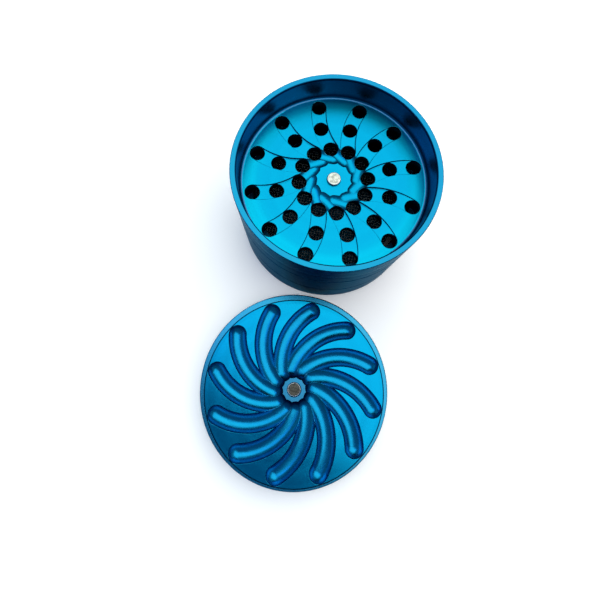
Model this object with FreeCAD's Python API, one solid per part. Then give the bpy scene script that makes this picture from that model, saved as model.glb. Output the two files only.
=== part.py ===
import FreeCAD
import Part
import math
import os

# A round pill crusher turned from anodised aluminium. Its four sections are a collecting cup, a
# sieve chamber, a grinding chamber and a lid. The first three are screwed together in a stack on
# the Z axis, standing on the plane Z = 0. The lid is off: it lies on the same plane with its
# grooved face up, in front of the stack towards -Y. Millimetres throughout.

# The stack
BODY_RADIUS = 31.5
BODY_TOP = 44.0
BASE_TOP = 13.0
SIEVE_TOP = 28.0
SEAM_GAP = 0.1
EDGE_ROUNDING = 0.35

# The plain lands of the screw joints: a spigot under each section in a socket in the next one
SPIGOT_RADIUS = 28.0
SPIGOT_LENGTH = 4.6
SOCKET_RADIUS = 28.6
SOCKET_DEPTH = 4.9
CHAMBER_WALL_RADIUS = 27.0

# The collecting cup
CUP_FLOOR = 2.0
CUP_FLOOR_ROUNDING = 2.0
FOOT_ROUNDING = 0.8

# The screen and its seat in the sieve chamber
SCREEN_RADIUS = 26.1
SCREEN_THICKNESS = 0.3
SCREEN_LEDGE_RADIUS = 24.0
SCREEN_LEDGE_THICKNESS = 1.2
SCREEN_SEAT_DEPTH = 2.6
SCREEN_RING_INNER_RADIUS = 24.6
SCREEN_RING_HEIGHT = 1.25
LOOSE_FIT = 0.1
CLOSE_FIT = 0.05

# The grinding chamber: an open cup over a drilled plate
CUP_RADIUS = 29.65
CUP_FOOT_ROUNDING = 1.1
RIM_ROUNDING = 0.2
PLATE_TOP = 34.6
PLATE_THICKNESS = 3.4
SPIGOT_BORE_RADIUS = 26.0
ARM_COUNT = 12
HOLE_RADIUS = 2.4
OUTER_HOLE_RING = 25.86
MIDDLE_HOLE_RING = 18.33
INNER_HOLE_RING = 10.93

# Each arm of the plate is an arc that comes closest to the middle at its inner end. Its centre
# is off the Z axis by ARM_OFFSET, in the direction ARM_DIRECTION for the first. From the outer
# to the inner hole the arm is a flat channel that gets deeper; from there to the foot of the hub
# it is a round-bottomed strand that gets shallower, with its neighbours overlapping it.
ARM_OFFSET = 29.54
ARM_RADIUS = 22.5
ARM_DIRECTION = 62.97
CHANNEL_HALF_WIDTH = 2.45
CHANNEL_CORNER_ROUNDING = 0.3
CHANNEL_OUTER_DEPTH = 0.35
CHANNEL_INNER_DEPTH = 0.9
CHANNEL_CUTTER_HEIGHT = 4.0
STRAND_RADIUS = 2.45
STRAND_OUTER_DEPTH = 1.25
STRAND_INNER_DEPTH = 0.9
STRAND_INNER_REACH = 7.1

# The magnet in the middle of the plate
CHAMBER_MAGNET_RADIUS = 2.15
CHAMBER_MAGNET_STANDS_OUT = 0.8
CHAMBER_MAGNET_POCKET_DEPTH = 2.0

# The lid, upside down: a flange on the floor plane, and the plug that fills the cup above it
LID_CENTRE = FreeCAD.Vector(0, -65.3, 0)
LID_HEIGHT = 12.6
FLANGE_RADIUS = 32.4
FLANGE_THICKNESS = 3.3
FLANGE_TOP_ROUNDING = 1.0
PLUG_RADIUS = 29.25
PLUG_ROUNDING = 0.25

# The grooves in the lid's face: round-bottomed arcs laid out like the plate's arms
GROOVE_OFFSET = 17.51
GROOVE_ARC_RADIUS = 19.32
GROOVE_DIRECTION = 69.48
GROOVE_RADIUS = 3.0
GROOVE_LIFT = 0.1
GROOVE_OUTER_REACH = 25.9
GROOVE_INNER_REACH = 6.6

# The magnet in the post that the grooves leave standing in the middle of the lid's face
LID_MAGNET_RADIUS = 2.3
LID_MAGNET_HEIGHT = 3.0
LID_MAGNET_SINK = 1.0
MAGNET_CHAMFER = 0.15

UP = FreeCAD.Vector(0, 0, 1)
ORIGIN = FreeCAD.Vector(0, 0, 0)


def polar(radius, degrees, height=0.0):
    angle = math.radians(degrees)
    return FreeCAD.Vector(radius * math.cos(angle), radius * math.sin(angle), height)


def rounded_corner(before, here, after, rounding):
    """The arc that rounds the corner at here, running from the side of before to that of after."""
    to_before = (before - here).normalize()
    to_after = (after - here).normalize()
    half_angle = to_before.getAngle(to_after) / 2
    reach = rounding / math.tan(half_angle)
    inward = (to_before + to_after).normalize()
    middle = here + inward * (rounding / math.sin(half_angle) - rounding)
    return Part.Arc(here + to_before * reach, middle, here + to_after * reach).toShape()


def turned(corners):
    """The solid turned from a closed outline of (radius, height) or (radius, height, rounding)."""
    points = [FreeCAD.Vector(corner[0], 0, corner[1]) for corner in corners]
    stretches = []
    for i, corner in enumerate(corners):
        here = points[i]
        if len(corner) == 3:
            arc = rounded_corner(points[i - 1], here, points[(i + 1) % len(points)], corner[2])
            stretches.append((arc.firstVertex().Point, arc.lastVertex().Point, arc))
        else:
            stretches.append((here, here, None))
    edges = []
    for i, (start, end, arc) in enumerate(stretches):
        if arc:
            edges.append(arc)
        edges.append(Part.makeLine(end, stretches[(i + 1) % len(stretches)][0]))
    return Part.Face(Part.Wire(edges)).revolve(ORIGIN, UP, 360)


def disc(radius, bottom, height):
    return Part.makeCylinder(radius, height, FreeCAD.Vector(0, 0, bottom))


def ring(inner_radius, outer_radius, bottom, height):
    return disc(outer_radius, bottom, height).cut(disc(inner_radius, bottom, height))


def all_round(shape):
    """Copies of shape at every arm, turned about the Z axis."""
    copies = []
    for arm in range(ARM_COUNT):
        copy = shape.copy()
        copy.rotate(ORIGIN, UP, arm * 360 / ARM_COUNT)
        copies.append(copy)
    return copies


def arc_turn(offset, arc_radius, direction, reach):
    """Where along an arc, as a direction from its centre, the arc is reach from the Z axis."""
    cosine = (offset**2 + arc_radius**2 - reach**2) / (2 * offset * arc_radius)
    return direction + 180 - math.degrees(math.acos(cosine))


def arm_turn(reach):
    return arc_turn(ARM_OFFSET, ARM_RADIUS, ARM_DIRECTION, reach)


def bent_bar(centre, arc_radius, outer_turn, inner_turn, bar_radius):
    """A round bar bent along an arc, with a ball at each end."""
    outer_end = centre + polar(arc_radius, outer_turn)
    inner_end = centre + polar(arc_radius, inner_turn)
    section = Part.makeCircle(bar_radius, outer_end, polar(1, outer_turn + 90))
    bar = Part.Face(Part.Wire(section)).revolve(centre, UP, inner_turn - outer_turn)
    balls = [Part.makeSphere(bar_radius, end) for end in (outer_end, inner_end)]
    return bar.fuse(balls)


def tip(shape, outer_end, inner_end, drop):
    """Tips the shape about its outer end until its inner end lies lower by drop."""
    run = inner_end - outer_end
    shape.rotate(outer_end, UP.cross(run), math.degrees(math.asin(drop / run.Length)))


def base_cup():
    socket_floor = BASE_TOP - SEAM_GAP - SOCKET_DEPTH
    return turned(
        [
            (0, 0),
            (BODY_RADIUS, 0, FOOT_ROUNDING),
            (BODY_RADIUS, BASE_TOP - SEAM_GAP, EDGE_ROUNDING),
            (SOCKET_RADIUS, BASE_TOP - SEAM_GAP, EDGE_ROUNDING),
            (SOCKET_RADIUS, socket_floor),
            (CHAMBER_WALL_RADIUS, socket_floor, EDGE_ROUNDING),
            (CHAMBER_WALL_RADIUS, CUP_FLOOR, CUP_FLOOR_ROUNDING),
            (0, CUP_FLOOR),
        ]
    )


def sieve_chamber():
    bottom = BASE_TOP - SPIGOT_LENGTH
    ledge = bottom + SCREEN_LEDGE_THICKNESS
    socket_floor = SIEVE_TOP - SEAM_GAP - SOCKET_DEPTH
    seat_radius = SCREEN_RADIUS + LOOSE_FIT
    return turned(
        [
            (SCREEN_LEDGE_RADIUS, bottom),
            (SPIGOT_RADIUS, bottom, EDGE_ROUNDING),
            (SPIGOT_RADIUS, BASE_TOP),
            (BODY_RADIUS, BASE_TOP, EDGE_ROUNDING),
            (BODY_RADIUS, SIEVE_TOP - SEAM_GAP, EDGE_ROUNDING),
            (SOCKET_RADIUS, SIEVE_TOP - SEAM_GAP, EDGE_ROUNDING),
            (SOCKET_RADIUS, socket_floor),
            (CHAMBER_WALL_RADIUS, socket_floor, EDGE_ROUNDING),
            (CHAMBER_WALL_RADIUS, ledge + SCREEN_SEAT_DEPTH, EDGE_ROUNDING),
            (seat_radius, ledge + SCREEN_SEAT_DEPTH),
            (seat_radius, ledge),
            (SCREEN_LEDGE_RADIUS, ledge),
        ]
    )


def screen_bottom():
    return BASE_TOP - SPIGOT_LENGTH + SCREEN_LEDGE_THICKNESS + CLOSE_FIT


def mesh_screen():
    return disc(SCREEN_RADIUS, screen_bottom(), SCREEN_THICKNESS)


def screen_ring():
    bottom = screen_bottom() + SCREEN_THICKNESS
    return ring(SCREEN_RING_INNER_RADIUS, SCREEN_RADIUS, bottom, SCREEN_RING_HEIGHT)


def channel_cutter():
    """The first arm's flat channel, from its outer hole to its inner one, with a rounded foot."""
    centre = polar(ARM_OFFSET, ARM_DIRECTION)
    outer_turn = arm_turn(OUTER_HOLE_RING)
    inner_turn = arm_turn(INNER_HOLE_RING)
    middle_turn = (inner_turn + outer_turn) / 2
    near = ARM_RADIUS - CHANNEL_HALF_WIDTH
    far = ARM_RADIUS + CHANNEL_HALF_WIDTH
    outer_end = centre + polar(ARM_RADIUS, outer_turn)
    inner_end = centre + polar(ARM_RADIUS, inner_turn)
    outer_cap = outer_end + polar(CHANNEL_HALF_WIDTH, outer_turn - 90)
    inner_cap = inner_end + polar(CHANNEL_HALF_WIDTH, inner_turn + 90)

    def on_arc(radius, turn):
        return centre + polar(radius, turn)

    edges = [
        Part.Arc(on_arc(near, outer_turn), on_arc(near, middle_turn), on_arc(near, inner_turn)),
        Part.Arc(on_arc(near, inner_turn), inner_cap, on_arc(far, inner_turn)),
        Part.Arc(on_arc(far, inner_turn), on_arc(far, middle_turn), on_arc(far, outer_turn)),
        Part.Arc(on_arc(far, outer_turn), outer_cap, on_arc(near, outer_turn)),
    ]
    outline = Part.Wire([edge.toShape() for edge in edges])
    slot = Part.Face(outline).extrude(UP * CHANNEL_CUTTER_HEIGHT)
    foot = [edge for edge in slot.Edges if edge.BoundBox.ZMax < CHANNEL_CORNER_ROUNDING / 2]
    slot = slot.makeFillet(CHANNEL_CORNER_ROUNDING, foot)
    tip(slot, outer_end, inner_end, CHANNEL_INNER_DEPTH - CHANNEL_OUTER_DEPTH)
    slot.translate(UP * (PLATE_TOP - CHANNEL_OUTER_DEPTH))
    return slot


def strand_cutter():
    """The first arm's round-bottomed strand, from its inner hole to the foot of the hub."""
    height = PLATE_TOP - STRAND_OUTER_DEPTH + STRAND_RADIUS
    centre = polar(ARM_OFFSET, ARM_DIRECTION, height)
    outer_turn = arm_turn(INNER_HOLE_RING)
    inner_turn = arm_turn(STRAND_INNER_REACH)
    outer_end = centre + polar(ARM_RADIUS, outer_turn)
    inner_end = centre + polar(ARM_RADIUS, inner_turn)
    strand = bent_bar(centre, ARM_RADIUS, outer_turn, inner_turn, STRAND_RADIUS)
    tip(strand, outer_end, inner_end, STRAND_INNER_DEPTH - STRAND_OUTER_DEPTH)
    return strand


def drop_holes():
    """The first arm's holes, on its centre line."""
    centre = polar(ARM_OFFSET, ARM_DIRECTION)
    holes = []
    for reach in (OUTER_HOLE_RING, MIDDLE_HOLE_RING, INNER_HOLE_RING):
        place = centre + polar(ARM_RADIUS, arm_turn(reach))
        bottom = place + UP * (PLATE_TOP - 2 * PLATE_THICKNESS)
        holes.append(Part.makeCylinder(HOLE_RADIUS, 3 * PLATE_THICKNESS, bottom))
    return holes


def grinding_chamber():
    bottom = SIEVE_TOP - SPIGOT_LENGTH
    plate_bottom = PLATE_TOP - PLATE_THICKNESS
    body = turned(
        [
            (SPIGOT_BORE_RADIUS, bottom, EDGE_ROUNDING),
            (SPIGOT_RADIUS, bottom, EDGE_ROUNDING),
            (SPIGOT_RADIUS, SIEVE_TOP),
            (BODY_RADIUS, SIEVE_TOP, EDGE_ROUNDING),
            (BODY_RADIUS, BODY_TOP, RIM_ROUNDING),
            (CUP_RADIUS, BODY_TOP, EDGE_ROUNDING),
            (CUP_RADIUS, PLATE_TOP, CUP_FOOT_ROUNDING),
            (0, PLATE_TOP),
            (0, plate_bottom),
            (SPIGOT_BORE_RADIUS, plate_bottom, CUP_FOOT_ROUNDING),
        ]
    )
    for cutter in (channel_cutter(), strand_cutter()):
        for copy in all_round(cutter):
            body = body.cut(copy)
    for hole in drop_holes():
        body = body.cut(all_round(hole))
    pocket_bottom = PLATE_TOP - CHAMBER_MAGNET_POCKET_DEPTH
    pocket_radius = CHAMBER_MAGNET_RADIUS + CLOSE_FIT
    return body.cut(disc(pocket_radius, pocket_bottom, CHAMBER_MAGNET_POCKET_DEPTH + 1))


def chamber_magnet():
    bottom = PLATE_TOP - CHAMBER_MAGNET_POCKET_DEPTH + CLOSE_FIT
    top = PLATE_TOP + CHAMBER_MAGNET_STANDS_OUT
    magnet = disc(CHAMBER_MAGNET_RADIUS, bottom, top - bottom)
    return magnet.makeChamfer(MAGNET_CHAMFER, [edge for edge in magnet.Edges if edge.Closed])


def groove_cutter():
    """The first groove in the lid's face."""

    def groove_turn(reach):
        return arc_turn(GROOVE_OFFSET, GROOVE_ARC_RADIUS, GROOVE_DIRECTION, reach)

    centre = polar(GROOVE_OFFSET, GROOVE_DIRECTION, LID_HEIGHT + GROOVE_LIFT)
    outer_turn = groove_turn(GROOVE_OUTER_REACH)
    inner_turn = groove_turn(GROOVE_INNER_REACH)
    return bent_bar(centre, GROOVE_ARC_RADIUS, outer_turn, inner_turn, GROOVE_RADIUS)


def lid():
    body = turned(
        [
            (0, 0),
            (FLANGE_RADIUS, 0, FLANGE_TOP_ROUNDING),
            (FLANGE_RADIUS, FLANGE_THICKNESS, EDGE_ROUNDING),
            (PLUG_RADIUS, FLANGE_THICKNESS),
            (PLUG_RADIUS, LID_HEIGHT, PLUG_ROUNDING),
            (0, LID_HEIGHT),
        ]
    )
    for groove in all_round(groove_cutter()):
        body = body.cut(groove)
    pocket_bottom = LID_HEIGHT - LID_MAGNET_SINK - LID_MAGNET_HEIGHT
    body = body.cut(disc(LID_MAGNET_RADIUS + CLOSE_FIT, pocket_bottom, LID_HEIGHT))
    body.translate(LID_CENTRE)
    return body


def lid_magnet():
    bottom = LID_HEIGHT - LID_MAGNET_SINK - LID_MAGNET_HEIGHT
    magnet = disc(LID_MAGNET_RADIUS, bottom, LID_MAGNET_HEIGHT)
    magnet = magnet.makeChamfer(MAGNET_CHAMFER, [edge for edge in magnet.Edges if edge.Closed])
    magnet.translate(LID_CENTRE)
    return magnet


PIECES = {
    "base_cup": base_cup,
    "sieve_chamber": sieve_chamber,
    "mesh_screen": mesh_screen,
    "screen_ring": screen_ring,
    "grinding_chamber": grinding_chamber,
    "chamber_magnet": chamber_magnet,
    "lid": lid,
    "lid_magnet": lid_magnet,
}

os.makedirs("parts", exist_ok=True)
for name, make in PIECES.items():
    piece = make()
    print(name, "valid" if piece.isValid() else "NOT VALID", len(piece.Solids), round(piece.Volume))
    piece.exportStep(f"parts/{name}.step")
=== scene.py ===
import bpy
import math
from mathutils import Matrix, Vector


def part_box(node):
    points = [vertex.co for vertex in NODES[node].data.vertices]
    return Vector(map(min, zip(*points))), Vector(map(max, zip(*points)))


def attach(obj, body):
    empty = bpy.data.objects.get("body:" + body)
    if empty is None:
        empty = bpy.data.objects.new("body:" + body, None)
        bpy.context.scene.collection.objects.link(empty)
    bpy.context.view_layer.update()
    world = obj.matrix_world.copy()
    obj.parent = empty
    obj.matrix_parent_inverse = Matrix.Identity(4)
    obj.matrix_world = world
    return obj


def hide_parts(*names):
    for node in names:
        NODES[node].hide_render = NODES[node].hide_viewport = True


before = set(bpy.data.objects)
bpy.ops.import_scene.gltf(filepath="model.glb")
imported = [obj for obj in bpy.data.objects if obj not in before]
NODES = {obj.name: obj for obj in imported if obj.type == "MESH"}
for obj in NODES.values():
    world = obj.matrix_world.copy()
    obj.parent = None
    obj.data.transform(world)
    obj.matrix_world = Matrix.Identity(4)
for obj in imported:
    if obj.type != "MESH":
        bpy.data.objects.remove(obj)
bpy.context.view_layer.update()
MM = 0.001


def middle(node):
    """The point on the floor below the centre of a CAD node's box at rest."""
    low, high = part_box(node)
    centre = (Vector(low) + Vector(high)) / 2
    centre.z = 0
    return centre


# Places that the CAD nodes' boxes give, and the few CAD dimensions that these boxes don't show
LID_AXIS = middle("lid")
STACK_AXIS = Vector((0, 0, 0))
BODY_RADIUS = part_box("base_cup")[1][0]
BODY_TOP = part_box("grinding_chamber")[1][2]
PLUG_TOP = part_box("lid")[1][2]
SCREEN_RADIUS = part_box("mesh_screen")[1][0]
PLATE_TOP = 34.6 * MM
PLATE_UNDERSIDE = 31.2 * MM
FLANGE_TOP = 3.3 * MM
POST_RADIUS = 3.9 * MM
FOOT_LINE = 28.95 * MM
LIP_RADIUS = 29.92 * MM
PLUG_RADIUS = 29.25 * MM
EDGE_BREAK = 0.14 * MM

# Fades between the zones of the stack and of the lid, each from the height, radius or distance
# where the zone starts to the one where it is full
RIM_HEIGHTS = (BODY_TOP - 0.3 * MM, BODY_TOP - 0.1 * MM)
LIP_HEIGHTS = (BODY_TOP - 1.0 * MM, BODY_TOP - 0.6 * MM)
LIP_RADII = (LIP_RADIUS + 0.1 * MM, LIP_RADIUS)
WALL_RADII = (BODY_RADIUS - 0.12 * MM, BODY_RADIUS - 0.04 * MM)
LOW_HEIGHTS = (PLATE_UNDERSIDE + 2.6 * MM, PLATE_UNDERSIDE)
INSIDE_RADII = (SCREEN_RADIUS + 2.6 * MM, SCREEN_RADIUS + 2.4 * MM)
PLATE_HEIGHTS = (PLATE_TOP + 1.2 * MM, PLATE_TOP + 0.2 * MM)
PLATE_EDGE_RADII = (21.5 * MM, 27.0 * MM)
CORNER_HEIGHTS = (PLATE_TOP + 1.3 * MM, PLATE_TOP + 0.9 * MM)
FOOT_RADII = (FOOT_LINE - 0.30 * MM, FOOT_LINE - 0.15 * MM)
FOOT_LINE_HALF_WIDTHS = (0.12 * MM, 0.07 * MM)
CUP_WALL_HEIGHTS = (PLATE_TOP + 0.6 * MM, PLATE_TOP + 1.4 * MM)
FLANGE_HEIGHTS = (FLANGE_TOP + 0.6 * MM, FLANGE_TOP + 0.2 * MM)
POST_HEIGHTS = (PLUG_TOP - 0.2 * MM, PLUG_TOP - 0.05 * MM)
POST_RADII = (POST_RADIUS + 0.6 * MM, POST_RADIUS + 0.2 * MM)
POST_FOOT_RADII = (7.0 * MM, 5.2 * MM)
GROOVE_HEIGHTS = (PLUG_TOP - 0.05 * MM, PLUG_TOP - 0.6 * MM)
GROOVE_WALL_HEIGHTS = (PLUG_TOP - 2.5 * MM, PLUG_TOP - 1.6 * MM)
PLUG_SIDE_RADII = (PLUG_RADIUS - 0.45 * MM, PLUG_RADIUS - 0.35 * MM)
PLUG_SIDE_HEIGHTS = (FLANGE_TOP, FLANGE_TOP + 0.2 * MM)

# Dyes of the anodised faces, and the painted shade, painted light and painted highlights of some
# zones
DYE = (0.001, 0.150, 0.262, 1)
DYE_FRESH = (0.001, 0.162, 0.278, 1)
DYE_BAND = (0.001, 0.126, 0.235, 1)
GROOVE_DYE = (0.003, 0.146, 0.262, 1)
# Painted light: the groove walls are lighter than the face
GROOVE_WALL_PAINTED_LIGHT = (0.002, 0.280, 0.520, 1)
# Painted shade: the outer wall and the plug's side are darkened
WALL_PAINTED_SHADE = (0.000, 0.018, 0.042, 1)
# Painted shade: the inside of the chambers below the plate is darkened
INSIDE_PAINTED_SHADE = (0.002, 0.018, 0.032, 1)
RIM_DYE = (0.006, 0.131, 0.222, 1)
# Painted shade: a dark line along the inner edge of the rim
LIP_PAINTED_SHADE = (0.001, 0.030, 0.075, 1)
# Painted highlight: the flange is paler and whiter
FLANGE_PAINTED_HIGHLIGHT = (0.018, 0.165, 0.262, 1)
# Painted shade: a dark band in the corner at the foot of the cup wall
FOOT_PAINTED_SHADE = (0.002, 0.080, 0.180, 1)
# Painted highlight: a thin pale line in that corner
FOOT_LINE_PAINTED_HIGHLIGHT = (0.042, 0.110, 0.190, 1)
POST_DYE = (0.014, 0.105, 0.185, 1)
# Painted shade: the recess round the post's foot is darkened
POST_FOOT_PAINTED_SHADE = (0.001, 0.070, 0.170, 1)
PLATE_DYE = (0.001, 0.170, 0.278, 1)
# Painted light: the plate grows lighter towards its edge
PLATE_EDGE_PAINTED_LIGHT = (0.001, 0.215, 0.310, 1)
# Worn metal and painted highlight along the edges
BARE_EDGE_AND_HIGHLIGHT = (0.20, 0.34, 0.45, 1)
GRAZING_TINT = (0.14, 0.42, 0.58, 1)

# Strengths of the turned bands in the dye and of the wear and painted highlight along the edges
BAND_STRENGTH = 0.15
WEAR_AND_HIGHLIGHT_STRENGTH = 0.25

# Roughness of the anodised faces: the range over the grain, and what bands and zones add to it
SATIN = (0.16, 0.22)
BAND_DULLNESS = 0.04
PLATE_DULLNESS = 0.14
CUP_WALL_DULLNESS = 0.10
GROOVE_DULLNESS = 0.07

# Colours and roughness of the magnets' nickel and of the steel, and how dark their patches are
BRIGHT_NICKEL = (0.34, 0.335, 0.29, 1)
# Painted highlight: the chamber magnet's rim is paler than its face
BRIGHT_NICKEL_RIM_HIGHLIGHT = (0.40, 0.42, 0.40, 1)
# Painted shade: the lid magnet's nickel, sunk in its pocket, is darkened
SHADED_NICKEL = (0.046, 0.046, 0.038, 1)
# Painted highlight on the lid magnet's rim
SHADED_NICKEL_RIM_HIGHLIGHT = (0.55, 0.58, 0.58, 1)
NICKEL_ROUGHNESS = (0.16, 0.34)
RUBBED = 0.5
WIRE_STEEL = (0.11, 0.12, 0.12, 1)
WIRE_ROUGHNESS = (0.30, 0.43)
RING_STEEL = (0.045, 0.045, 0.045, 1)
RING_ROUGHNESS = (0.25, 0.38)
STAINED = 0.7

# The magnets' rims: their width, the half width of their inner blend, and the rounding they show
MAGNET_RIM = 0.3 * MM
MAGNET_BLEND = 0.05 * MM
MAGNET_ROUNDING = 0.45 * MM

# Scales of the noise in the materials, in cells a metre
TOOL_MARK_SCALE = 5200.0
BAND_SCALE = 420.0
GRAIN_SCALE = 2600.0
DYE_PATCH_SCALE = 46.0
WEAR_SCALE = 900.0
SCRATCH_SCALE = 1500.0
TARNISH_SCALE = 1300.0
STAIN_SCALE = 420.0
PIT_SCALE = 5000.0
PAPER_SCALE = 900.0

# Scratches in the nickel are noise drawn out along a slanted line
SCRATCH_STRETCH = (9.0, 1.0, 1.0)
SCRATCH_TURN = (0, 0, 0.7)

# Fine relief of each material, as the bump's strength and depth
ANODISED_RELIEF = (0.15, 0.02 * MM)
NICKEL_RELIEF = (0.25, 0.02 * MM)
STEEL_RELIEF = (0.2, 0.01 * MM)
PAPER_RELIEF = (0.05, 0.05 * MM)
TOOL_MARK_SHARE = 0.6
GRAIN_SHARE = 0.4

# Parts of a noise's range that are stretched to the whole of it
SOFT = (0.3, 0.7)
FIRM = (0.35, 0.65)
WORN = (0.40, 0.70)

# How far a rounded normal leans from the face's own where an edge starts and where it is full, and
# how upright the normal of a level face is, as cosines
EDGE_LEAN = (0.995, 0.86)
LEVEL_LEAN = (0.5, 0.9)

# Camera: over the lid, looking down and a little away, turned about the vertical
CAMERA_PLACE = Vector((-2.8, -56.3, 159.7)) * MM
CAMERA_TURN = math.radians(10.99)
CAMERA_TILT = math.radians(15.06)
CAMERA_PAN = math.radians(-0.90)
CAMERA_LENS = 25.8
CAMERA_SHIFT = (0.0039, -0.093)


def make_camera():
    """A camera at the photograph's viewing angle."""
    data = bpy.data.cameras.new("camera")
    data.sensor_width = 36
    data.lens = CAMERA_LENS
    data.shift_x, data.shift_y = CAMERA_SHIFT
    data.clip_start = 10 * MM
    camera = bpy.data.objects.new("camera", data)
    bpy.context.scene.collection.objects.link(camera)
    camera.matrix_world = (
        Matrix.Translation(CAMERA_PLACE)
        @ Matrix.Rotation(CAMERA_TURN, 4, "Z")
        @ Matrix.Rotation(CAMERA_TILT, 4, "X")
        @ Matrix.Rotation(CAMERA_PAN, 4, "Y")
    )
    bpy.context.scene.camera = camera


class Nodes:
    """Short calls that add nodes to a node tree and link them."""

    def __init__(self, tree):
        self.tree = tree

    def put(self, socket, value):
        """Links an output to a socket, or sets the socket to a plain value."""
        if isinstance(value, bpy.types.NodeSocket):
            self.tree.links.new(value, socket)
        else:
            socket.default_value = value

    def add(self, kind, inputs=None, output=0, **settings):
        """Adds a node and returns one of its outputs."""
        node = self.tree.nodes.new(kind)
        for key, value in settings.items():
            setattr(node, key, value)
        for key, value in (inputs or {}).items():
            self.put(node.inputs[key], value)
        return node.outputs[output]

    def math(self, operation, a, b=0.0, c=0.0):
        return self.add("ShaderNodeMath", {0: a, 1: b, 2: c}, operation=operation)

    def both(self, a, b):
        """The product: where two masks overlap, or a mask times its strength."""
        return self.math("MULTIPLY", a, b)

    def plus(self, a, b):
        return self.math("ADD", a, b)

    def vector(self, operation, a, b=(0, 0, 0), output=0):
        return self.add("ShaderNodeVectorMath", {0: a, 1: b}, output=output, operation=operation)

    def split(self, vector):
        """The x, y and z of a vector."""
        return self.add("ShaderNodeSeparateXYZ", {0: vector}).node.outputs

    def radius(self, place):
        """The distance of a place from the Z axis."""
        return self.vector("LENGTH", self.vector("MULTIPLY", place, (1, 1, 0)), output="Value")

    def mix(self, factor, a, b):
        """Blend of two colours."""
        return self.add(
            "ShaderNodeMix", {"Factor": factor, 6: a, 7: b}, output=2, data_type="RGBA"
        )

    def span(self, value, low, high, to_low=0.0, to_high=1.0):
        """Takes low to to_low and high to to_high, and eases between them."""
        return self.add(
            "ShaderNodeMapRange",
            {
                "Value": value,
                "From Min": low,
                "From Max": high,
                "To Min": to_low,
                "To Max": to_high,
            },
            interpolation_type="SMOOTHSTEP",
        )

    def noise(self, scale, vector, detail=2.0):
        return self.add("ShaderNodeTexNoise", {"Scale": scale, "Detail": detail, "Vector": vector})

    def rings(self, distance, scale):
        """Noise that changes only with distance, as tool marks on a turned face do."""
        return self.add(
            "ShaderNodeTexNoise", {"W": distance, "Scale": scale}, noise_dimensions="1D"
        )

    def bump(self, height, relief, normal=None):
        """The normal, leaned by a height map with relief's strength and depth."""
        inputs = {"Height": height, "Strength": relief[0], "Distance": relief[1]}
        if normal is not None:
            inputs["Normal"] = normal
        return self.add("ShaderNodeBump", inputs)


class Surface(Nodes):
    """A new material with its nodes."""

    def __init__(self, name):
        self.material = bpy.data.materials.new(name)
        self.material.use_nodes = True
        super().__init__(self.material.node_tree)
        self.shader = self.tree.nodes["Principled BSDF"]

    def set(self, **sockets):
        """Sets or links the shader's sockets by their names."""
        for key, value in sockets.items():
            name = key.replace("_", " ").title().replace("Ior", "IOR")
            self.put(self.shader.inputs[name], value)


def stack_zones(surface, radius, height, level):
    """The dyes of the stack's zones, and the painted shade, light and highlights on some of them,
    later ones over earlier ones, and its added roughness.
    """
    corner = surface.span(height, *CORNER_HEIGHTS)
    from_line = surface.math("ABSOLUTE", surface.math("SUBTRACT", radius, FOOT_LINE))
    plate = surface.span(height, *PLATE_HEIGHTS)
    # Painted light towards the plate's edge
    plate_edge = surface.both(plate, surface.span(radius, *PLATE_EDGE_RADII))
    # Painted shade in the corner at the foot of the cup wall
    foot = surface.both(corner, surface.span(radius, *FOOT_RADII))
    # Painted highlight along a thin line in that corner
    foot_line = surface.both(corner, surface.span(from_line, *FOOT_LINE_HALF_WIDTHS))
    rim = surface.both(surface.span(height, *RIM_HEIGHTS), level)
    # Painted shade along the inner edge of the rim
    lip = surface.both(surface.span(height, *LIP_HEIGHTS), surface.span(radius, *LIP_RADII))
    # Painted shade on the outer wall
    wall = surface.span(radius, *WALL_RADII)
    # Painted shade inside the chambers below the plate
    inside = surface.both(surface.span(height, *LOW_HEIGHTS), surface.span(radius, *INSIDE_RADII))
    dyes_and_painted_light = (
        (plate, PLATE_DYE),
        (plate_edge, PLATE_EDGE_PAINTED_LIGHT),
        (foot, FOOT_PAINTED_SHADE),
        (foot_line, FOOT_LINE_PAINTED_HIGHLIGHT),
        (rim, RIM_DYE),
        (lip, LIP_PAINTED_SHADE),
        (wall, WALL_PAINTED_SHADE),
        (inside, INSIDE_PAINTED_SHADE),
    )
    upright = surface.math("SUBTRACT", 1.0, level)
    cup_wall = surface.both(surface.span(height, *CUP_WALL_HEIGHTS), upright)
    plate_dullness = surface.both(plate, PLATE_DULLNESS)
    return dyes_and_painted_light, surface.plus(plate_dullness, surface.both(cup_wall, CUP_WALL_DULLNESS))


def lid_zones(surface, radius, height, level):
    """The dyes of the lid's zones, and the painted shade, light and highlight on some of them, later
    ones over earlier ones, and its added roughness.
    """
    groove = surface.span(height, *GROOVE_HEIGHTS)
    # Painted light on the groove walls
    groove_wall = surface.both(groove, surface.span(height, *GROOVE_WALL_HEIGHTS))
    # Painted shade in the recess round the post's foot
    post_foot = surface.both(groove, surface.span(radius, *POST_FOOT_RADII))
    # Painted shade on the plug's side and its rounded top edge
    off_flange = surface.span(height, *PLUG_SIDE_HEIGHTS)
    side = surface.both(surface.span(radius, *PLUG_SIDE_RADII), off_flange)
    # Painted highlight: a paler flange
    flange = surface.span(height, *FLANGE_HEIGHTS)
    post = surface.both(surface.span(height, *POST_HEIGHTS), surface.span(radius, *POST_RADII))
    dyes_and_painted_light = (
        (groove, GROOVE_DYE),
        (groove_wall, GROOVE_WALL_PAINTED_LIGHT),
        (post_foot, POST_FOOT_PAINTED_SHADE),
        (side, WALL_PAINTED_SHADE),
        (flange, FLANGE_PAINTED_HIGHLIGHT),
        (post, POST_DYE),
    )
    return dyes_and_painted_light, surface.both(groove, GROOVE_DULLNESS)


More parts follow.
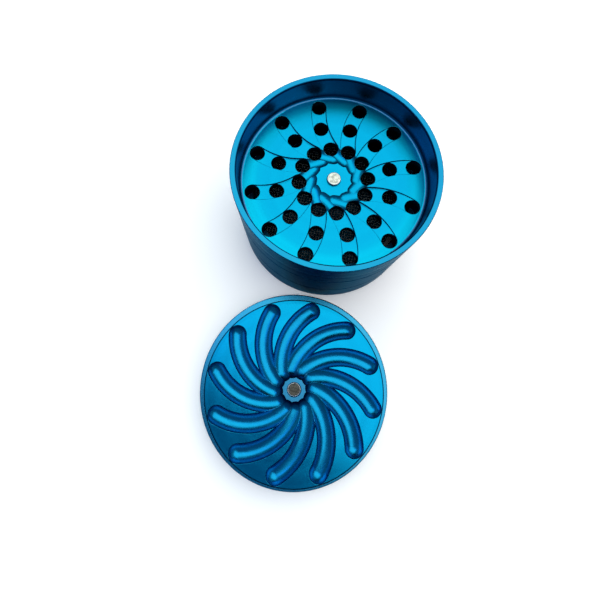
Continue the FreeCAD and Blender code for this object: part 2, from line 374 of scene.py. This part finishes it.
def anodised(name, axis, zones):
    """Blue anodised aluminium, turned about the vertical line through axis, with painted shade, light
    and highlights on some zones and edges.
    """
    surface = Surface(name)
    place = surface.add("ShaderNodeTexCoord", output="Object")
    local = surface.vector("SUBTRACT", place, axis)
    radius = surface.radius(local)
    height = surface.split(local)[2]
    along = surface.plus(radius, height)
    tool_marks = surface.rings(along, TOOL_MARK_SCALE)
    bands = surface.rings(along, BAND_SCALE)
    grain = surface.noise(GRAIN_SCALE, place)
    patches = surface.noise(DYE_PATCH_SCALE, place, detail=4.0)

    round_normal = surface.add("ShaderNodeBevel", {"Radius": EDGE_BREAK}, samples=6)
    face_normal = surface.add("ShaderNodeNewGeometry", output="Normal")
    lean = surface.vector("DOT_PRODUCT", round_normal, face_normal, output="Value")
    edge = surface.span(lean, *EDGE_LEAN)
    # Wear along the edges, with a painted highlight in the same pale colour
    worn_and_highlight = surface.both(edge, surface.span(surface.noise(WEAR_SCALE, place, detail=3.0), *WORN))
    level = surface.span(surface.split(face_normal)[2], *LEVEL_LEAN)

    face_colour = surface.mix(surface.span(patches, *SOFT), DYE, DYE_FRESH)
    face_colour = surface.mix(surface.both(surface.span(bands, *FIRM), BAND_STRENGTH), face_colour, DYE_BAND)
    # The zones lay their dyes and their painted shade, light and highlights over the face colour
    dyes_and_painted_light, dullness = zones(surface, radius, height, level)
    for mask, zone_colour in dyes_and_painted_light:
        face_colour = surface.mix(mask, face_colour, zone_colour)
    surface.set(base_color=surface.mix(surface.both(worn_and_highlight, WEAR_AND_HIGHLIGHT_STRENGTH), face_colour, BARE_EDGE_AND_HIGHLIGHT))
    surface.set(metallic=1.0, anisotropic=0.2, specular_tint=GRAZING_TINT)

    roughness = surface.plus(dullness, surface.span(grain, *SOFT, *SATIN))
    band_dullness = surface.both(surface.span(bands, *SOFT), BAND_DULLNESS)
    surface.set(roughness=surface.plus(roughness, band_dullness))
    marks = surface.both(tool_marks, TOOL_MARK_SHARE)
    marks = surface.plus(marks, surface.both(grain, GRAIN_SHARE))
    surface.set(normal=surface.bump(marks, ANODISED_RELIEF, round_normal))
    return surface.material


def darker(tone, share):
    """A colour with each channel cut to a share of itself."""
    return tuple(share * channel for channel in tone[:3]) + (1,)


def nickel(name, node, tone, rim_highlight):
    """Nickel plate on a magnet, with rubbed patches, scratches and a painted highlight round its rim.
    """
    surface = Surface(name)
    place = surface.add("ShaderNodeTexCoord", output="Object")
    stretched = surface.add(
        "ShaderNodeMapping",
        {"Vector": place, "Scale": SCRATCH_STRETCH, "Rotation": SCRATCH_TURN},
    )
    scratches = surface.noise(SCRATCH_SCALE, stretched)
    patches = surface.noise(TARNISH_SCALE, place, detail=4.0)

    low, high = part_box(node)
    rim = (high[0] - low[0]) / 2 - MAGNET_RIM
    radius = surface.radius(surface.vector("SUBTRACT", place, middle(node)))
    face = surface.mix(surface.span(patches, *FIRM), darker(tone, RUBBED), tone)
    # Painted highlight: the rim takes a paler tone
    on_rim = surface.span(radius, rim - MAGNET_BLEND, rim + MAGNET_BLEND)
    surface.set(base_color=surface.mix(on_rim, face, rim_highlight))
    surface.set(metallic=1.0, roughness=surface.span(scratches, *SOFT, *NICKEL_ROUGHNESS))
    round_normal = surface.add("ShaderNodeBevel", {"Radius": MAGNET_ROUNDING}, samples=8)
    surface.set(normal=surface.bump(scratches, NICKEL_RELIEF, round_normal))
    return surface.material


def steel(name, tone, roughness):
    """Stained steel with a finely pitted face."""
    surface = Surface(name)
    place = surface.add("ShaderNodeTexCoord", output="Object")
    stain = surface.noise(STAIN_SCALE, place, detail=3.0)
    pits = surface.noise(PIT_SCALE, place)
    colour = surface.mix(surface.span(stain, *FIRM), darker(tone, STAINED), tone)
    surface.set(base_color=colour, metallic=1.0)
    surface.set(roughness=surface.span(pits, *SOFT, *roughness))
    surface.set(normal=surface.bump(pits, STEEL_RELIEF))
    return surface.material


def dress(node, material):
    """Gives a CAD node its material."""
    materials = NODES[node].data.materials
    materials.clear()
    materials.append(material)


def new_piece(name, verts, faces, body, material):
    """A smooth-shaded mesh piece that rides on a body."""
    mesh = bpy.data.meshes.new(name)
    mesh.from_pydata(verts, [], faces)
    mesh.validate()
    for polygon in mesh.polygons:
        polygon.use_smooth = True
    piece = bpy.data.objects.new(name, mesh)
    bpy.context.scene.collection.objects.link(piece)
    mesh.materials.append(material)
    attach(piece, body)
    return piece


def tube(verts, faces, rings):
    """Joins rings of points, each ring the same length, into a tube closed at both ends."""
    start = len(verts)
    count = len(rings[0])
    for ring in rings:
        verts.extend(ring)
    for i in range(len(rings) - 1):
        for j in range(count):
            a = start + i * count + j
            b = start + i * count + (j + 1) % count
            faces.append((a, b, b + count, a + count))
    faces.append(tuple(start + j for j in reversed(range(count))))
    last = start + (len(rings) - 1) * count
    faces.append(tuple(last + j for j in range(count)))


# The wire cloth: its pitch, the room left round it, and its flattened wires' section and wave
MESH_PITCH = 1.0 * MM
MESH_MARGIN = 0.05 * MM
WIRE_HALF_WIDTH = 0.14 * MM
WIRE_HALF_HEIGHT = 0.075 * MM
WIRE_WAVE = 0.07 * MM
WIRE_SECTION = ((-1, 0), (0, -1), (1, 0), (0, 1))


def wire_rings(wire, half_length, level, crosswise):
    """The sections of one wire, two to each crossing, waving over and under the wires it meets."""
    step_length = MESH_PITCH / 2
    steps = int(half_length / step_length)
    rings = []
    for step in range(-steps, steps + 1):
        wave = math.cos(math.pi * (step / 2 + wire)) * (-1 if crosswise else 1)
        ring = []
        for side, lift in WIRE_SECTION:
            along = step * step_length
            across = wire * MESH_PITCH + side * WIRE_HALF_WIDTH
            z = level + WIRE_WAVE * wave + lift * WIRE_HALF_HEIGHT
            ring.append((across, along, z) if crosswise else (along, -across, z))
        rings.append(ring)
    return rings


def woven_screen(material):
    """Plain-weave wire cloth in place of the screen's plain disc."""
    low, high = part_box("mesh_screen")
    radius = high[0] - MESH_MARGIN
    level = (low[2] + high[2]) / 2
    reach = int(radius / MESH_PITCH)
    verts, faces = [], []
    for crosswise in (False, True):
        for wire in range(-reach, reach + 1):
            half_length = math.sqrt(radius**2 - (wire * MESH_PITCH) ** 2)
            if half_length >= MESH_PITCH / 2:
                tube(verts, faces, wire_rings(wire, half_length, level, crosswise))
    piece = new_piece("woven_mesh", verts, faces, "screen", material)
    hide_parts("mesh_screen")


# Screw threads: root and crest radii, the ridge's half widths at its foot and crest, how far it
# sinks into its wall, the part of a turn over which it fades, and the room beyond its ends
THREAD_PITCH = 1.6 * MM
THREAD_STEPS = 96
THREAD_SINK = 0.1 * MM
THREAD_FADE = 0.25
THREAD_FOOT = 0.36 * MM
THREAD_FLAT = 0.12 * MM
SPIGOT_RADII = (28.0 * MM, 28.42 * MM)
SOCKET_RADII = (28.6 * MM, 28.2 * MM)
SPIGOT_END = 0.6 * MM
SOCKET_END = 0.5 * MM


def thread(name, radii, low, high, phase, body, material):
    """A right-hand helical ridge, from root to crest radius, fading out at both its ends."""
    root, crest = radii
    turns = (high - low) / THREAD_PITCH
    steps = int(turns * THREAD_STEPS)
    sunk = root - math.copysign(THREAD_SINK, crest - root)
    rings = []
    for step in range(steps + 1):
        share = step / steps
        angle = 2 * math.pi * (turns * share + phase)
        fade = min(1.0, share * turns / THREAD_FADE, (1 - share) * turns / THREAD_FADE)
        top = root + (crest - root) * fade
        z = low + (high - low) * share
        ring = []
        for reach, rise in (
            (sunk, -THREAD_FOOT),
            (top, -THREAD_FLAT),
            (top, THREAD_FLAT),
            (sunk, THREAD_FOOT),
        ):
            ring.append((reach * math.cos(angle), reach * math.sin(angle), z + rise))
        rings.append(ring if crest > root else ring[::-1])
    verts, faces = [], []
    tube(verts, faces, rings)
    new_piece(name, verts, faces, body, material)


def threads(material):
    """A screw joint at each seam: a ridge round the spigot, and one in the socket half a turn on."""
    for upper, lower, body_above, body_below in (
        ("sieve_chamber", "base_cup", "sieve", "base"),
        ("grinding_chamber", "sieve_chamber", "chamber", "sieve"),
    ):
        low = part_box(upper)[0][2] + SPIGOT_END
        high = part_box(lower)[1][2] - SOCKET_END
        thread(f"{upper}_thread", SPIGOT_RADII, low, high, 0.0, body_above, material)
        thread(f"{lower}_socket_thread", SOCKET_RADII, low, high, 0.5, body_below, material)


# The floor lies a hair below the object, and gives off a little light so that it stays white
FLOOR_SIZE = 4.0
FLOOR_GAP = 0.02 * MM
FLOOR_COLOUR = (0.98, 0.94, 0.86, 1)
FLOOR_GLOW = 0.05


def make_stage():
    """A plain floor of white paper."""
    bpy.ops.mesh.primitive_plane_add(size=FLOOR_SIZE, location=(0, 0, -FLOOR_GAP))
    floor = bpy.context.object
    floor.name = "floor"
    surface = Surface("floor_paper")
    fibre = surface.noise(PAPER_SCALE, surface.add("ShaderNodeTexCoord", output="Object"), detail=3.0)
    surface.set(base_color=FLOOR_COLOUR, roughness=0.7, specular_ior_level=0.2)
    surface.set(emission_color=(1, 1, 1, 1), emission_strength=FLOOR_GLOW)
    surface.set(normal=surface.bump(fibre, PAPER_RELIEF))
    floor.data.materials.append(surface.material)


# One softbox overhead. Its near edge runs through KEY_EDGE at KEY_TURN to the X axis. The cloth is
# dimmer and bluer at its near left corner, and brighter and greener round a hot spot beside that.
# Reaches and places on the cloth are shares of its width and depth.
KEY_EDGE = Vector((-0.0877, -0.0867, 0.412))
KEY_TURN = math.radians(-21.7)
KEY_LEFT = 0.25
KEY_RIGHT = 0.45
KEY_DEPTH = 0.62
KEY_RADIANCE = 2.7
CLOTH = (1, 1, 1, 1)
CORNER_TINT = (0.40, 0.62, 1.22, 1)
CORNER_REACH_ACROSS = (0.42, 0.18)
CORNER_REACH_ALONG = (0.34, 0.03)
HOT_SPOT = (0.31, 0.30, 0)
HOT_SPOT_REACH = (0.26, 0.06)
HOT_SPOT_TINT = (1, 1.20, 1.04, 1)

# A small fill light stands low at the near left, half of it under the floor, so that it brightens
# the paper at a grazing angle. It doesn't show in the metal.
FILL_CENTRE = Vector((-0.6060, -0.2837, 0.0403))
FILL_FACING = Vector((0.47, 0.22, -0.30))
FILL_SIZE = 0.30
FILL_RADIANCE = 14

# The room is pale at the horizon, dimmer on the near side, and blue round the softbox overhead.
# Its reaches are parts of a unit direction, upwards and away from the camera's side.
CEILING = (0.20, 0.30, 0.51, 1)
HORIZON = (0.44, 0.50, 0.58, 1)
NEAR_HORIZON = (0.22, 0.25, 0.30, 1)
CEILING_REACH = (0.2, 0.85)
NEAR_REACH = (-0.2, -0.6)


def softbox(name, centre, across, along, radiance):
    """A rectangular area light, which shines against the cross product of across and along."""
    data = bpy.data.lights.new(name, "AREA")
    data.shape = "RECTANGLE"
    data.size = across.length
    data.size_y = along.length
    data.energy = radiance * math.pi * across.length * along.length
    light = bpy.data.objects.new(name, data)
    bpy.context.scene.collection.objects.link(light)
    x = across.normalized()
    y = along.normalized()
    basis = Matrix((x, y, x.cross(y))).transposed().to_4x4()
    light.matrix_world = Matrix.Translation(centre) @ basis
    return light


def tint_cloth(light):
    """Colours the near left corner of the softbox and its hot spot."""
    light.data.use_nodes = True
    nodes = Nodes(light.data.node_tree)
    place = nodes.add("ShaderNodeNewGeometry", output="Parametric")
    across, along, _ = nodes.split(place)
    left = nodes.span(across, *CORNER_REACH_ACROSS)
    corner = nodes.both(left, nodes.span(along, *CORNER_REACH_ALONG))
    spot_distance = nodes.vector("DISTANCE", place, HOT_SPOT, output="Value")
    cloth = nodes.mix(nodes.span(spot_distance, *HOT_SPOT_REACH), CLOTH, HOT_SPOT_TINT)
    nodes.put(nodes.tree.nodes["Emission"].inputs["Color"], nodes.mix(corner, cloth, CORNER_TINT))


def make_world():
    """The room round the stage, by direction."""
    world = bpy.data.worlds.new("studio")
    bpy.context.scene.world = world
    world.use_nodes = True
    nodes = Nodes(world.node_tree)
    _, away, rise = nodes.split(nodes.add("ShaderNodeTexCoord", output="Generated"))
    horizon = nodes.mix(nodes.span(away, *NEAR_REACH), HORIZON, NEAR_HORIZON)
    room = nodes.mix(nodes.span(rise, *CEILING_REACH), horizon, CEILING)
    nodes.put(nodes.tree.nodes["Background"].inputs["Color"], room)


def make_lights():
    """The softbox overhead and the fill."""
    across = Vector((math.cos(KEY_TURN), math.sin(KEY_TURN), 0))
    inward = Vector((-across.y, across.x, 0))
    centre = KEY_EDGE + (KEY_RIGHT - KEY_LEFT) / 2 * across + KEY_DEPTH / 2 * inward
    width = (KEY_LEFT + KEY_RIGHT) * across
    tint_cloth(softbox("key", centre, width, KEY_DEPTH * inward, KEY_RADIANCE))
    across = FILL_SIZE * Vector((-FILL_FACING.y, FILL_FACING.x, 0)).normalized()
    along = FILL_SIZE * across.cross(FILL_FACING).normalized()
    fill = softbox("fill", FILL_CENTRE, across, along, FILL_RADIANCE)
    fill.visible_glossy = False


make_camera()
stack_blue = anodised("anodised_stack", STACK_AXIS, stack_zones)
lid_blue = anodised("anodised_lid", LID_AXIS, lid_zones)
wire = steel("wire_steel", WIRE_STEEL, WIRE_ROUGHNESS)
for section in ("base_cup", "sieve_chamber", "grinding_chamber"):
    dress(section, stack_blue)
dress("lid", lid_blue)
dress("chamber_magnet", nickel("nickel_bright", "chamber_magnet", BRIGHT_NICKEL, BRIGHT_NICKEL_RIM_HIGHLIGHT))
dress("lid_magnet", nickel("nickel_painted_shade", "lid_magnet", SHADED_NICKEL, SHADED_NICKEL_RIM_HIGHLIGHT))
dress("screen_ring", steel("ring_steel", RING_STEEL, RING_ROUGHNESS))
woven_screen(wire)
threads(stack_blue)
make_stage()
make_lights()
make_world()
bpy.context.scene.view_settings.view_transform = "Standard"
